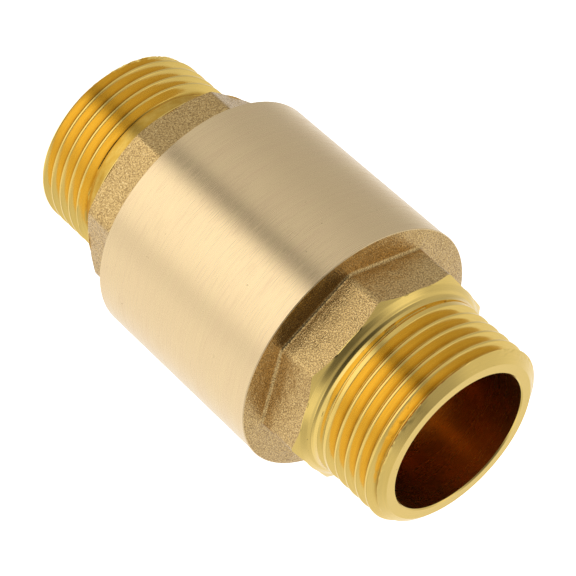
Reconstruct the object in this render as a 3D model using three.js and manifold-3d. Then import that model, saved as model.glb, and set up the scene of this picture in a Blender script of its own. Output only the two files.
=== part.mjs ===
// Spring-loaded in-line check valve, nominal bore 25, with two G 1 male ends. Millimetres.
// +Z is the way the water flows: the inlet face lies at z = 0 and the outlet face is on top.
import * as THREE from 'three';
import { mergeVertices } from 'three/addons/utils/BufferGeometryUtils.js';
import Module from 'manifold-3d';

const wasm = await Module();
wasm.setup();

// ---- Driving dimensions ------------------------------------------------------------------

// Male pipe thread on both ends: G 1, eleven turns to the inch, 55 degree form.
const PORT_MAJOR = 33.249;
const PORT_PITCH = 2.309;
const PORT_THREAD_DEPTH = 1.479;
const PORT_FLANK = THREE.MathUtils.degToRad(27.5);
const PORT_CREST_WIDTH = 0.42;
const PORT_LENGTH = 15.8;
const PORT_WALL = 2.3;
const PORT_LEAD_IN = 1.3;
const PORT_FACE_STEP = 0.5;
const RUN_OUT_WIDTH = 2.4;
const RUN_OUT_STEP = 0.05;
const OUTLET_THREAD_TURN = THREE.MathUtils.degToRad(72);
const INLET_THREAD_TURN = THREE.MathUtils.degToRad(-36);

// Octagons for the spanner, with a turned collar between the flats and the thread.
const WRENCH_SIDES = 8;
const FLAT_STEP = 1.375;
const CAP_FLATS_LENGTH = 8.6;
const BODY_FLATS_LENGTH = 7.8;
const CAP_TURN = THREE.MathUtils.degToRad(16.75);
const COLLAR_STEP = 0.2;
const COLLAR_CHAMFER = 1.3;
const CORNER_CUT = 0.8;

// Screwed joint between the inlet cap and the body: fine metric thread and a plain land.
const JOINT_SHOULDER = 1.0;
const JOINT_PITCH = 2.0;
const JOINT_THREAD_DEPTH = 1.23;
const JOINT_FLANK = THREE.MathUtils.degToRad(30);
const JOINT_CREST_WIDTH = 0.25;
const JOINT_THREAD_LENGTH = 6.6;
const JOINT_RELIEF = 1.2;
const JOINT_CLEARANCE = 0.15;
const LAND_STEP = 0.18;
const NOSE_CLEARANCE = 0.1;
const SPIGOT_LENGTH = 14.1;

// O-ring on the spigot.
const O_RING_WIDTH = 1.9;
const O_RING_GROOVE_WIDTH = 2.4;
const O_RING_DEPTH = 1.4;
const O_RING_BELOW_NOSE = 3.6;

// Body shell.
const CHAMBER_RELIEF = 3.41;
const SHELL_WALL = 3.5;
const TOP_WALL = 6.3;
const SHELL_CHAMFER = 0.3;
const CAST_RIM_WIDTH = 0.9;
const CAST_RIM_STEP = 0.1;
const CAST_RIM_ROUND = 0.6;

// Seat, seal and disc.
const SEAT_HEIGHT = 0.7;
const SEAT_LIP = 1.2;
const SEAL_OVERLAP = 2.0;
const SEAL_THICKNESS = 2.5;
const DISC_GAP = 2.3;
const DISC_THICKNESS = 2.2;
const DISC_LIP = 0.6;
const DISC_LIP_DEPTH = 1.5;
const DISC_HUB_DIAMETER = 9;
const DISC_HUB_HEIGHT = 3.5;
const RETAINER_GAP = 1.5;
const RETAINER_THICKNESS = 1.8;

// Stem and what clamps the disc to it.
const STEM_DIAMETER = 5;
const STEM_SHOULDER_STEP = 1.5;
const STEM_SHOULDER_HEIGHT = 1.45;
const STEM_TIP = 1.0;
const WASHER_STEP = 2.0;
const WASHER_THICKNESS = 0.9;
const WASHER_SLIT = 1.0;
const NUT_WALL = 1.5;
const NUT_HEIGHT = 4.0;

// Travel and spring.
const LIFT = 7;
const RIM_CLEARANCE = 1.0;
const SPRING_DIAMETER = 14;
const SPRING_WIRE = 0.8;
const SPRING_TURNS = 6;
const SPRING_SPARE = 2.0;
const COIL_GAP = 0.06;

// Stem guide with its bush.
const GUIDE_RIM_HEIGHT = 3.0;
const GUIDE_RIM_WIDTH = 1.6;
const GUIDE_ARMS = 4;
const GUIDE_ARM_WIDTH = 2.4;
const GUIDE_ARM_GAP = 0.4;
const GUIDE_HUB_WALL = 1.5;
const GUIDE_NOSE_GAP = 0.6;
const GUIDE_SEAT_THICKNESS = 1.4;
const STOP_CLEARANCE = 0.8;
const HUB_ABOVE_SEAT = 6.0;
const BUSH_WALL = 1.0;
const BUSH_CLEARANCE = 0.15;

// Gap left between faces that rest on each other.
const FILM = 0.05;

// Facets round a large turning, a small one, a wire, and in one turn of a thread.
const SIDES = 40;
const SMALL_SIDES = 20;
const WIRE_SIDES = 6;
const STEPS_PER_TURN = 20;
const COIL_STEPS = 14;
const EXTRA = 1;

// ---- Sizes that follow from them ---------------------------------------------------------

const portRadius = PORT_MAJOR / 2;
const portRoot = portRadius - PORT_THREAD_DEPTH;
const portBore = portRoot - PORT_WALL;
const flatRadius = portRadius + FLAT_STEP;
const collarRadius = flatRadius + COLLAR_STEP;

const jointRadius = flatRadius - JOINT_SHOULDER;
const jointRoot = jointRadius - JOINT_THREAD_DEPTH;
const landRadius = jointRoot - LAND_STEP;
const noseRadius = landRadius - NOSE_CLEARANCE;
const chamberRadius = landRadius + CHAMBER_RELIEF;
const shellRadius = chamberRadius + SHELL_WALL;

const discRadius = noseRadius - DISC_GAP;
const sealRadius = discRadius - DISC_LIP - FILM;
const seatBore = sealRadius - SEAL_OVERLAP;
const retainerRadius = seatBore - RETAINER_GAP;
const stemRadius = STEM_DIAMETER / 2;
const stemHole = stemRadius + FILM;
const springRadius = SPRING_DIAMETER / 2;
const springHole = springRadius - SPRING_WIRE;
const guideRadius = noseRadius - FILM;
const guideHole = guideRadius - GUIDE_RIM_WIDTH;
const bushHole = stemRadius + BUSH_CLEARANCE;
const bushRadius = bushHole + BUSH_WALL;
const guideBore = bushRadius + FILM;
const guideHub = Math.min(guideBore + GUIDE_HUB_WALL, springHole - GUIDE_NOSE_GAP);

// Heights, from the inlet face up.
const capShoulder = PORT_LENGTH + CAP_FLATS_LENGTH;
const bodyBottom = capShoulder + FILM;
const noseTop = capShoulder + SPIGOT_LENGTH;
const seatTop = noseTop + SEAT_HEIGHT;
const sealBottom = seatTop + FILM;
const sealTop = sealBottom + SEAL_THICKNESS;
const discBottom = sealTop + FILM;
const discTop = discBottom + DISC_THICKNESS;
const hubTop = discTop + DISC_HUB_HEIGHT;
const stemShoulderTop = hubTop + FILM + STEM_SHOULDER_HEIGHT;
const rimBottom = discTop + LIFT + RIM_CLEARANCE;
const rimTop = rimBottom + GUIDE_RIM_HEIGHT;
const guideStop = rimTop + FILM;
const shellTop = guideStop + TOP_WALL;
const coneTop = shellTop - CAST_RIM_WIDTH;
const collarEdge = shellTop + BODY_FLATS_LENGTH;
const outletFace = collarEdge + PORT_LENGTH;
const springBottom = discTop + FILM;
const springLength = LIFT + SPRING_TURNS * (SPRING_WIRE + COIL_GAP) + SPRING_SPARE;
const springTop = springBottom + springLength;
const guideSeat = springTop + FILM;
const guideHubBottom = stemShoulderTop + LIFT + STOP_CLEARANCE;
const guideHubTop = guideSeat + HUB_ABOVE_SEAT;
const stemTop = guideHubTop + STEM_TIP;
const retainerTop = sealBottom - FILM;
const retainerBottom = retainerTop - RETAINER_THICKNESS;
const washerTop = retainerBottom - FILM;
const washerBottom = washerTop - WASHER_THICKNESS;
const nutTop = washerBottom - FILM;
const nutBottom = nutTop - NUT_HEIGHT;
const stemBottom = nutBottom - STEM_TIP;

// ---- Solids ------------------------------------------------------------------------------

/** A closed three.js geometry as a manifold solid. */
function solid(geometry) {
  const bare = geometry.clone();
  bare.deleteAttribute('normal');
  bare.deleteAttribute('uv');
  const merged = mergeVertices(bare, 1e-5);
  const corners = Array.from(merged.index.array);
  const triangles = [];
  for (let i = 0; i < corners.length; i += 3) {
    const [a, b, c] = corners.slice(i, i + 3);
    if (a !== b && b !== c && c !== a) triangles.push(a, b, c);
  }
  const vertProperties = new Float32Array(merged.attributes.position.array);
  const triVerts = new Uint32Array(triangles);
  return new wasm.Manifold(new wasm.Mesh({ numProp: 3, vertProperties, triVerts }));
}

/** A turning about Z. The outline's points are [radius, height], anticlockwise. */
function turned(outline, sides = SIDES) {
  const points = outline.map(([radius, z]) => new THREE.Vector2(radius, z));
  return solid(new THREE.LatheGeometry(points, sides).rotateX(Math.PI / 2));
}

/** A turned ring: its outline closes on itself. */
function ring(outline, sides = SIDES) {
  return turned([...outline, outline[0]], sides);
}

/** A plain tube between two radii and two heights. */
function tube(inner, outer, bottom, top, sides = SIDES) {
  return ring([[inner, bottom], [outer, bottom], [outer, top], [inner, top]], sides);
}

/** A plain round bar between two heights. */
function bar(radius, bottom, top, sides = SIDES) {
  return turned([[0, bottom], [radius, bottom], [radius, top], [0, top]], sides);
}

/** A prism with the given number of flats, its corners half a side past -Y. */
function prism(flat, sides, bottom, top, turn = 0) {
  const corner = flat / Math.cos(Math.PI / sides);
  const geometry = new THREE.CylinderGeometry(corner, corner, top - bottom, sides);
  geometry.rotateX(Math.PI / 2).rotateZ(Math.PI / sides + turn);
  return solid(geometry.translate(0, 0, (bottom + top) / 2));
}

/** A box centred on the axis, from one height to another. */
function block(x, y, bottom, top) {
  const geometry = new THREE.BoxGeometry(x, y, top - bottom);
  return solid(geometry.translate(0, 0, (bottom + top) / 2));
}

/** The helical ridge of a right-hand thread, its foot sunk below the root. */
function ridge({ root, crest, flank, crestWidth, pitch, from, to, turn = 0 }) {
  const foot = root - 0.15;
  const halfCrest = crestWidth / 2;
  const halfFoot = halfCrest + (crest - foot) * Math.tan(flank);
  const section = [[foot, -halfFoot], [crest, -halfCrest], [crest, halfCrest], [foot, halfFoot]];
  const steps = Math.ceil(((to - from) / pitch) * STEPS_PER_TURN);
  const positions = [];
  for (let step = 0; step <= steps; step += 1) {
    const angle = (step / STEPS_PER_TURN) * 2 * Math.PI;
    const height = from + (step / STEPS_PER_TURN) * pitch;
    for (const [radius, rise] of section) {
      positions.push(radius * Math.cos(angle), radius * Math.sin(angle), height + rise);
    }
  }
  const index = [0, 1, 2, 0, 2, 3];
  for (let step = 0; step < steps; step += 1) {
    for (let corner = 0; corner < 4; corner += 1) {
      const a = step * 4 + corner;
      const b = step * 4 + ((corner + 1) % 4);
      index.push(a, a + 4, b, b, a + 4, b + 4);
    }
  }
  const end = steps * 4;
  index.push(end, end + 2, end + 1, end, end + 3, end + 2);
  const geometry = new THREE.BufferGeometry();
  geometry.setAttribute('position', new THREE.Float32BufferAttribute(positions, 3));
  geometry.setIndex(index);
  return solid(geometry.rotateZ(turn));
}

/** Points of a quarter round from straight out to straight up, about a centre. */
function quarterRound(centreRadius, centreZ, radius, steps = 3) {
  return Array.from({ length: steps + 1 }, (_, i) => {
    const angle = ((i / steps) * Math.PI) / 2;
    return [centreRadius + radius * Math.cos(angle), centreZ + radius * Math.sin(angle)];
  });
}

/** A named mesh of one finish, from a solid. */
function part(name, body, finish) {
  const { vertProperties, triVerts } = body.getMesh();
  const geometry = new THREE.BufferGeometry();
  geometry.setAttribute('position', new THREE.BufferAttribute(vertProperties, 3));
  geometry.setIndex(new THREE.BufferAttribute(triVerts, 1));
  geometry.computeVertexNormals();
  const mesh = new THREE.Mesh(geometry, finish);
  mesh.name = name;
  return mesh;
}

// ---- Finishes ----------------------------------------------------------------------------

const finish = (color, roughness, metalness) =>
  new THREE.MeshStandardMaterial({ color, roughness, metalness, flatShading: true });

const castBrass = finish(0xd9bd8a, 0.42, 0.9);
const turnedBrass = finish(0xd8ac4a, 0.25, 1.0);
const stainless = finish(0xb9bbbd, 0.3, 1.0);
const nitrile = finish(0x17181a, 0.65, 0.0);
const acetal = finish(0xe9e6dc, 0.5, 0.0);

// ---- Pieces ------------------------------------------------------------------------------

/**
 * The outside of a threaded end, standing on its shoulder at z = 0: octagon, collar and
 * male pipe thread up to the end face. The octagon goes on below the shoulder by sunk.
 */
function threadedEnd(flatsLength, octagonTurn, threadTurn, sunk = 0) {
  const face = flatsLength + PORT_LENGTH;
  const cornerRadius = flatRadius / Math.cos(Math.PI / WRENCH_SIDES) + EXTRA;
  const cornerRise = (cornerRadius - collarRadius) * Math.tan(Math.PI / 6);
  const cornerEnvelope = turned([
    [0, -2 * EXTRA], [cornerRadius, -2 * EXTRA], [cornerRadius, flatsLength - cornerRise],
    [collarRadius, flatsLength], [0, flatsLength],
  ]);
  const octagon = prism(flatRadius, WRENCH_SIDES, -sunk, flatsLength, octagonTurn);
  const collarTop = flatsLength + COLLAR_CHAMFER;
  const core = turned([
    [0, flatsLength - CORNER_CUT], [collarRadius, flatsLength - CORNER_CUT],
    [collarRadius, flatsLength], [collarRadius - COLLAR_CHAMFER, collarTop],
    [portRoot, collarTop], [portRoot, face], [0, face],
  ]);
  const faceRadius = portRoot - PORT_FACE_STEP;
  const leadSlope = PORT_LEAD_IN / (portRadius - faceRadius);
  const leadStart = face - (cornerRadius - faceRadius) * leadSlope;
  const envelope = turned([
    [0, -2 * EXTRA], [cornerRadius, -2 * EXTRA], [cornerRadius, leadStart],
    [faceRadius, face], [0, face],
  ]);
  const thread = ridge({
    root: portRoot, crest: portRadius, flank: PORT_FLANK, crestWidth: PORT_CREST_WIDTH,
    pitch: PORT_PITCH, from: flatsLength, to: face + PORT_PITCH, turn: threadTurn,
  });
  return octagon.intersect(cornerEnvelope).add(core).add(thread).intersect(envelope);
}

/** The groove that the inlet thread runs out into, beside its collar. */
function runOutGroove(flatsLength) {
  const start = flatsLength + COLLAR_CHAMFER;
  return tube(portRoot - RUN_OUT_STEP, flatRadius, start, start + RUN_OUT_WIDTH);
}

/** The thread of the joint, with a growth for the female side. */
function jointThread(growth, from, to) {
  return ridge({
    root: jointRoot - growth, crest: jointRadius + growth, flank: JOINT_FLANK,
    crestWidth: JOINT_CREST_WIDTH + growth, pitch: JOINT_PITCH, from, to,
  });
}

/** One casting: the shell, the outlet octagon and the outlet thread. */
function bodyCasting() {
  const rimStart = shellTop - CAST_RIM_WIDTH;
  const rimRadius = shellRadius + CAST_RIM_STEP;
  const shell = turned([
    [0, bodyBottom], [shellRadius - SHELL_CHAMFER, bodyBottom],
    [shellRadius, bodyBottom + SHELL_CHAMFER], [shellRadius, rimStart], [rimRadius, rimStart],
    ...quarterRound(rimRadius - CAST_RIM_ROUND, shellTop - CAST_RIM_ROUND, CAST_RIM_ROUND),
    [0, shellTop],
  ]);
  const outlet = threadedEnd(BODY_FLATS_LENGTH, 0, OUTLET_THREAD_TURN, EXTRA);
  const threadStart = capShoulder + JOINT_RELIEF;
  const threadEnd = threadStart + JOINT_THREAD_LENGTH;
  const entry = jointRadius + JOINT_CLEARANCE;
  const threadBore = jointRoot + JOINT_CLEARANCE;
  const chamberBottom = noseTop - JOINT_CLEARANCE;
  const chamberSlope = CHAMBER_RELIEF / 2;
  const waterway = turned([
    [0, bodyBottom - EXTRA], [entry, bodyBottom - EXTRA], [entry, bodyBottom],
    [threadBore, bodyBottom + entry - threadBore], [threadBore, threadEnd],
    [entry, threadEnd], [entry, threadEnd + JOINT_RELIEF / 2],
    [landRadius, threadEnd + JOINT_RELIEF], [landRadius, chamberBottom],
    [chamberRadius, chamberBottom + chamberSlope], [chamberRadius, rimBottom - chamberSlope],
    [noseRadius, rimBottom], [noseRadius, guideStop], [guideHole, guideStop],
    [portBore, coneTop], [portBore, outletFace + EXTRA], [0, outletFace + EXTRA],
  ]);
  const femaleThread = jointThread(JOINT_CLEARANCE, threadStart - 2 * JOINT_PITCH, threadEnd);
  return shell.add(outlet.translate(0, 0, shellTop)).subtract(waterway).subtract(femaleThread);
}

/** The screwed cap: inlet thread, octagon, spigot with the joint thread, and the seat. */
function inletCap() {
  const end = threadedEnd(CAP_FLATS_LENGTH, -CAP_TURN, INLET_THREAD_TURN)
    .subtract(runOutGroove(CAP_FLATS_LENGTH));
  const outside = end.rotate([180, 0, 0]).translate(0, 0, capShoulder);
  const threadStart = capShoulder + JOINT_RELIEF;
  const threadEnd = threadStart + JOINT_THREAD_LENGTH - JOINT_PITCH;
  const spigotRadius = Math.min(jointRoot, noseRadius);
  const groove = noseTop - O_RING_BELOW_NOSE;
  const grooveRadius = noseRadius - O_RING_DEPTH;
  const spigot = turned([
    [0, capShoulder - EXTRA], [spigotRadius, capShoulder - EXTRA],
    [spigotRadius, groove - O_RING_GROOVE_WIDTH / 2],
    [grooveRadius, groove - O_RING_GROOVE_WIDTH / 2],
    [grooveRadius, groove + O_RING_GROOVE_WIDTH / 2],
    [noseRadius, groove + O_RING_GROOVE_WIDTH / 2],
    [noseRadius, noseTop - SHELL_CHAMFER], [noseRadius - SHELL_CHAMFER, noseTop],
    [seatBore + SEAT_LIP, noseTop], [seatBore + SEAT_LIP * 0.75, seatTop],
    [seatBore + SEAT_LIP * 0.25, seatTop], [seatBore, seatTop - SEAT_LIP * 0.25],
    [0, seatTop - SEAT_LIP * 0.25],
  ]);
  const boreEnd = groove - O_RING_GROOVE_WIDTH;
  const coneEnd = boreEnd + Math.abs(portBore - seatBore);
  const waterway = turned([
    [0, -EXTRA], [portBore, -EXTRA], [portBore, boreEnd],
    [seatBore, coneEnd], [seatBore, seatTop + EXTRA], [0, seatTop + EXTRA],
  ]);
  const male = jointThread(0, threadStart, threadEnd);
  return outside.add(spigot).add(male).subtract(waterway);
}

/** The O-ring, squeezed between the spigot's groove and the land. */
function capORing() {
  const inner = noseRadius - O_RING_DEPTH + FILM;
  const outer = landRadius - FILM;
  const centre = (inner + outer) / 2;
  const z = noseTop - O_RING_BELOW_NOSE;
  const outline = Array.from({ length: WIRE_SIDES }, (_, i) => {
    const angle = (i / WIRE_SIDES) * 2 * Math.PI;
    return [
      centre + ((outer - inner) / 2) * Math.cos(angle),
      z + (O_RING_WIDTH / 2) * Math.sin(angle),
    ];
  });
  return ring(outline);
}

/** The spider that holds the stem: rim, arms, spring seat and hub. */
function stemGuide() {
  const rim = tube(guideHole, guideRadius, rimBottom, rimTop);
  const armInside = springRadius + RIM_CLEARANCE;
  const armOutside = guideHole + GUIDE_RIM_WIDTH / 2;
  const armReach = portBore - GUIDE_ARM_GAP;
  const armShape = turned([
    [0, guideSeat], [armInside, guideSeat], [armInside, rimBottom], [armOutside, rimBottom],
    [armOutside, rimTop - FILM], [guideHole - GUIDE_ARM_GAP, rimTop - FILM],
    [armReach, coneTop - GUIDE_ARM_GAP], [guideHub, guideHubTop - GUIDE_ARM_GAP],
    [0, guideHubTop - GUIDE_ARM_GAP],
  ]);
  let arms = block(2 * guideRadius, GUIDE_ARM_WIDTH, rimBottom - EXTRA, guideHubTop);
  for (let arm = 1; arm < GUIDE_ARMS / 2; arm += 1) {
    const turn = (arm * 360) / GUIDE_ARMS;
    arms = arms.add(
      block(2 * guideRadius, GUIDE_ARM_WIDTH, rimBottom - EXTRA, guideHubTop).rotate([0, 0, turn]),
    );
  }
  const hub = bar(guideHub, guideHubBottom, guideHubTop, SMALL_SIDES);
  const seat = bar(springRadius + FILM, guideSeat, guideSeat + GUIDE_SEAT_THICKNESS, SMALL_SIDES);
  const bore = bar(guideBore, guideHubBottom - EXTRA, guideHubTop + EXTRA, SMALL_SIDES);
  return rim.add(arms.intersect(armShape)).add(hub).add(seat).subtract(bore);
}

/** The plain bush pressed into the guide's hub. */
function guideBush() {
  return tube(bushHole, bushRadius, guideHubBottom, guideHubTop, SMALL_SIDES);
}

/** Centre line of the closing spring, with closed end turns. */
class SpringLine extends THREE.Curve {
  getPoint(t, target = new THREE.Vector3()) {
    const turns = t * SPRING_TURNS;
    const closed = SPRING_WIRE + COIL_GAP;
    const rise = springLength - SPRING_WIRE - 2 * closed;
    const open = THREE.MathUtils.clamp(turns - 1, 0, SPRING_TURNS - 2);
    const ends = THREE.MathUtils.clamp(turns, 0, 1) + Math.max(turns - SPRING_TURNS + 1, 0);
    const height = springBottom + SPRING_WIRE / 2 + ends * closed
      + (open / (SPRING_TURNS - 2)) * rise;
    const radius = springRadius - SPRING_WIRE / 2;
    const angle = turns * 2 * Math.PI;
    return target.set(radius * Math.cos(angle), radius * Math.sin(angle), height);
  }
}

/** The closing spring. */
function spring() {
  const wire = new THREE.Shape().absarc(0, 0, SPRING_WIRE / 2, 0, 2 * Math.PI);
  const geometry = new THREE.ExtrudeGeometry(wire, {
    curveSegments: WIRE_SIDES / 2, steps: SPRING_TURNS * COIL_STEPS, extrudePath: new SpringLine(),
  });
  return solid(geometry);
}

/** The stem, with the shoulder that the disc is clamped against. */
function stem() {
  const shoulder = stemRadius + STEM_SHOULDER_STEP;
  const point = STEM_TIP / 2;
  return turned([
    [0, stemBottom], [stemRadius - point, stemBottom], [stemRadius, stemBottom + point],
    [stemRadius, hubTop + FILM], [shoulder, hubTop + FILM], [shoulder, stemShoulderTop],
    [stemRadius, stemShoulderTop], [stemRadius, stemTop - point],
    [stemRadius - point, stemTop], [0, stemTop],
  ], SMALL_SIDES);
}

/** The disc, with a lip round its seal and a hub on the stem. */
function valveDisc() {
  const hub = DISC_HUB_DIAMETER / 2;
  return ring([
    [stemHole, discBottom], [discRadius - DISC_LIP, discBottom],
    [discRadius - DISC_LIP, discBottom - DISC_LIP_DEPTH],
    [discRadius, discBottom - DISC_LIP_DEPTH], [discRadius, discTop - DISC_LIP],
    [discRadius - DISC_LIP, discTop], [hub, discTop], [hub, hubTop], [stemHole, hubTop],
  ]);
}

/** The flat ring of rubber that closes on the seat. */
function discSeal() {
  return tube(stemHole, sealRadius, sealBottom, sealTop);
}

/** The plate that clamps the seal. */
function sealRetainer() {
  return ring([
    [stemHole, retainerBottom], [retainerRadius - DISC_LIP, retainerBottom],
    [retainerRadius, retainerBottom + DISC_LIP], [retainerRadius, retainerTop],
    [stemHole, retainerTop],
  ]);
}

/** The split spring washer under the nut. */
function lockWasher() {
  const outer = stemRadius + WASHER_STEP;
  const plain = tube(stemHole, outer, washerBottom, washerTop, SMALL_SIDES);
  const slit = block(outer + EXTRA, WASHER_SLIT, washerBottom - EXTRA, washerTop + EXTRA);
  return plain.subtract(slit.translate((outer + EXTRA) / 2, 0, 0));
}

/** The hexagon nut at the stem's lower end. */
function stemNut() {
  const flat = stemRadius + NUT_WALL;
  const corner = flat / Math.cos(Math.PI / 6);
  const rise = (corner - flat) * Math.tan(Math.PI / 6);
  const chamfers = turned([
    [0, nutBottom], [flat, nutBottom], [corner, nutBottom + rise], [corner, nutTop - rise],
    [flat, nutTop], [0, nutTop],
  ], SMALL_SIDES);
  const hole = bar(stemHole, nutBottom - EXTRA, nutTop + EXTRA, SMALL_SIDES);
  return prism(flat, 6, nutBottom, nutTop).intersect(chamfers).subtract(hole);
}

// ---- Assembly ----------------------------------------------------------------------------

const casing = new THREE.Group();
casing.add(
  part('body', bodyCasting(), castBrass),
  part('inlet_cap', inletCap(), castBrass),
  part('cap_o_ring', capORing(), nitrile),
  part('stem_guide', stemGuide(), turnedBrass),
  part('guide_bush', guideBush(), acetal),
  part('spring', spring(), stainless),
);

const poppet = new THREE.Group();
poppet.add(
  part('stem', stem(), stainless),
  part('valve_disc', valveDisc(), turnedBrass),
  part('disc_seal', discSeal(), nitrile),
  part('seal_retainer', sealRetainer(), turnedBrass),
  part('lock_washer', lockWasher(), stainless),
  part('stem_nut', stemNut(), stainless),
);

const checkValve = new THREE.Group();
checkValve.add(casing, poppet);

export default checkValve;
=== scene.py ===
"""Looks of an in-line check valve: fine castings, threads, spring, finishes and studio."""

from __future__ import annotations

import logging
import math
from dataclasses import dataclass, field
from enum import Enum
from typing import Callable, Sequence

import bpy
import bmesh
import numpy as np
from mathutils import Matrix, Vector


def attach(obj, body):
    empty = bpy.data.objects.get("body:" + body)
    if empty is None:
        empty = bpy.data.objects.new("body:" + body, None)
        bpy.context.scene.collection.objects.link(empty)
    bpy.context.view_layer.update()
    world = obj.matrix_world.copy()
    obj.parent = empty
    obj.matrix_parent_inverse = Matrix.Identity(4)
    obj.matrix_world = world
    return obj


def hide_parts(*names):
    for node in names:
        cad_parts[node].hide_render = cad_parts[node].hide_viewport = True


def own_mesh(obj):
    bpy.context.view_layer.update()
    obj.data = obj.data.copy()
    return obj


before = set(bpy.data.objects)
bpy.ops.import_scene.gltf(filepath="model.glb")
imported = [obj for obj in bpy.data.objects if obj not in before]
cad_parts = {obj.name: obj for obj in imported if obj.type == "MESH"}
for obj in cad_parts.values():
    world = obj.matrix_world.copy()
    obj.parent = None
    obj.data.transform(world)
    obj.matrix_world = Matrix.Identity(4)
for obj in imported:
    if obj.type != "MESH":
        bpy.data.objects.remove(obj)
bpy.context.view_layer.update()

LOG = logging.getLogger("check_valve")
MM = 0.001  # a millimetre in metres
ROUND = 320  # columns round a casting
SMALL_ROUND = 160  # columns round an inner piece
WHITE = (1.0, 1.0, 1.0, 1.0)

Colour = tuple[float, float, float, float]
Array = np.ndarray
Point = tuple[float, float]
Stops = Sequence[tuple[float, float]]


class Body(Enum):
    """The two bodies of the valve."""

    CASING = "casing"
    POPPET = "poppet"


class Slot(Enum):
    """The material slots of the record."""

    CAST_BRASS = "cast_brass"
    TURNED_BRASS = "turned_brass"
    STAINLESS = "stainless"
    NITRILE = "nitrile"
    ACETAL = "acetal"


# ---- Shader graph ------------------------------------------------------------------------


class Wire:
    """One output socket of a shader graph, with arithmetic on it."""

    def __init__(self, graph: "Graph", socket: object) -> None:
        """Keeps the socket and the graph that new nodes go in."""
        self.graph = graph
        self.socket = socket

    def _math(self, operation: str, first: object, second: object) -> "Wire":
        """A Math node on two values."""
        return self.graph.node("ShaderNodeMath", {"operation": operation}, [first, second])

    def __add__(self, other: object) -> "Wire":
        """Sum."""
        return self._math("ADD", self, other)

    __radd__ = __add__

    def __sub__(self, other: object) -> "Wire":
        """Difference."""
        return self._math("SUBTRACT", self, other)

    def __rsub__(self, other: object) -> "Wire":
        """Difference, with this value taken away."""
        return self._math("SUBTRACT", other, self)

    def __mul__(self, other: object) -> "Wire":
        """Product."""
        return self._math("MULTIPLY", self, other)

    __rmul__ = __mul__

    def __truediv__(self, other: object) -> "Wire":
        """Quotient."""
        return self._math("DIVIDE", self, other)

    def __rtruediv__(self, other: object) -> "Wire":
        """Quotient, with this value below."""
        return self._math("DIVIDE", other, self)

    def __pow__(self, other: object) -> "Wire":
        """Power."""
        return self._math("POWER", self, other)

    def __rpow__(self, other: object) -> "Wire":
        """Power, with this value as the exponent."""
        return self._math("POWER", other, self)

    def clamped(self) -> "Wire":
        """The value held between 0 and 1."""
        return self.graph.node("ShaderNodeClamp", {}, [self])


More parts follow.
